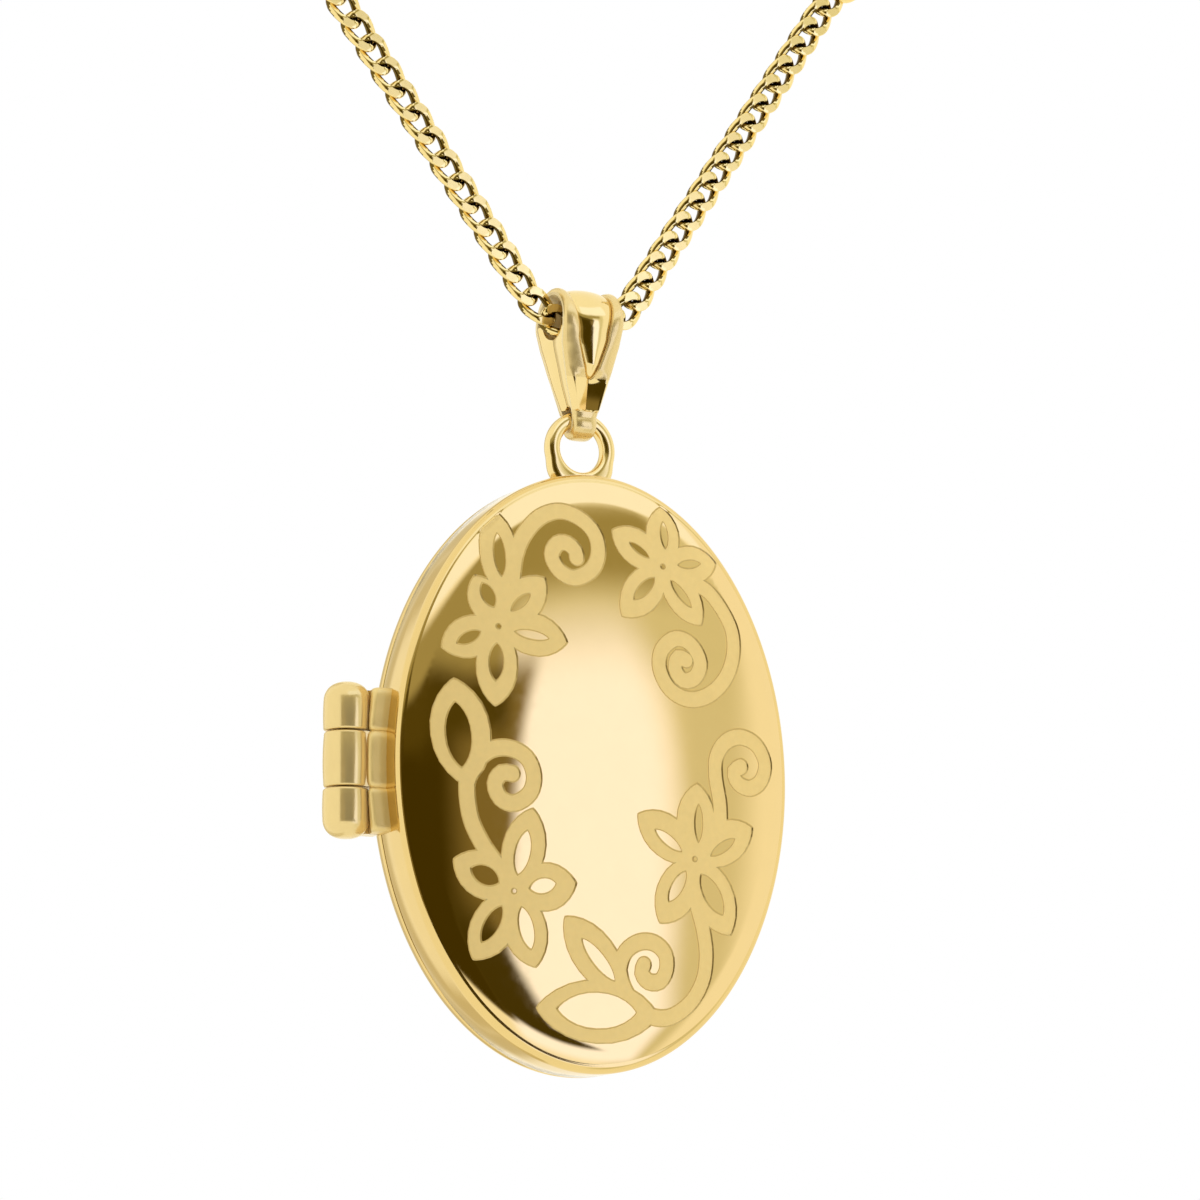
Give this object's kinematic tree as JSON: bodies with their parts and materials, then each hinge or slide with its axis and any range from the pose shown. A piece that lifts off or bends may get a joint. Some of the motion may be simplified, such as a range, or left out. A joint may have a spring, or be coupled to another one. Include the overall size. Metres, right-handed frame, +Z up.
{
  "type": "oval engraved locket on a curb chain",
  "caption": "Oval hinged gold locket with floral engraving, top loop, fluted bail and a curb chain with a spring ring clasp.",
  "frame": {"origin": "lowest point of the chain's centre line, where the chain carries the bail", "axes": "+Z up along the body's height, decorated face looks along -Y, hinge at -X"},
  "size_m": [0.0406, 0.0056, 0.0634],
  "materials": {
    "polished_gold": "mirror-polished yellow gold",
    "satin_gold": "fine satin engraved yellow gold",
    "chain_gold": "polished, diamond-cut link faces",
    "hinge_gold": "polished, soft with wear",
    "frame_gold": "bright rolled strip",
    "spring_steel": "bright spring wire",
    "clear_acetate": "clear thin sheet",
    "picture_paper": "blank satin photo paper"
  },
  "bodies": {
    "chain_and_ends": {"chain": "chain_gold", "end_jump_ring": "chain_gold", "end_tag": "polished_gold", "clasp_jump_ring": "chain_gold", "clasp_eye": "chain_gold", "clasp_case": "polished_gold", "clasp_spring": "spring_steel"},
    "clasp_bolt": {"clasp_bolt": "polished_gold"},
    "bail": {"bail": "polished_gold", "bail_collar": "polished_gold"},
    "front_half": {"front_cover": "polished_gold", "top_loop": "polished_gold", "loop_seat": "polished_gold", "hinge_seat": "hinge_gold", "hinge_front_leaf": "hinge_gold", "knuckle_middle": "hinge_gold", "front_photo_frame": "frame_gold", "front_window": "clear_acetate", "front_picture": "picture_paper"},
    "back_half": {"back_cover": "polished_gold", "inner_lip": "frame_gold", "hinge_back_leaves": "hinge_gold", "knuckle_top": "hinge_gold", "knuckle_bottom": "hinge_gold", "hinge_pin": "hinge_gold", "back_photo_frame": "frame_gold", "back_window": "clear_acetate", "back_picture": "picture_paper"}
  },
  "joints": [
    {"name": "bail_swing", "type": "hinge", "parent": "chain_and_ends", "child": "bail", "pos_m": [0, 0, 0], "axis": [1, 0, 0], "range_deg": [-50, 50]},
    {"name": "locket_swing", "type": "hinge", "parent": "bail", "child": "front_half", "pos_m": [0, 0, -0.0063], "axis": [0, 1, 0], "range_deg": [-40, 40]},
    {"name": "locket_open", "type": "hinge", "parent": "front_half", "child": "back_half", "pos_m": [-0.01243, 0.0006, -0.02288], "axis": [0, 0, 1], "range_deg": [0, 165]},
    {"name": "clasp_open", "type": "hinge", "parent": "chain_and_ends", "child": "clasp_bolt", "pos_m": [-0.01849, 0, 0.02213], "axis": [0, -1, 0], "range_deg": [0, 52], "stiffness_Nm_per_rad": 0.001, "springref_deg": -28.65, "deforming": ["clasp_spring"]}
  ]
}
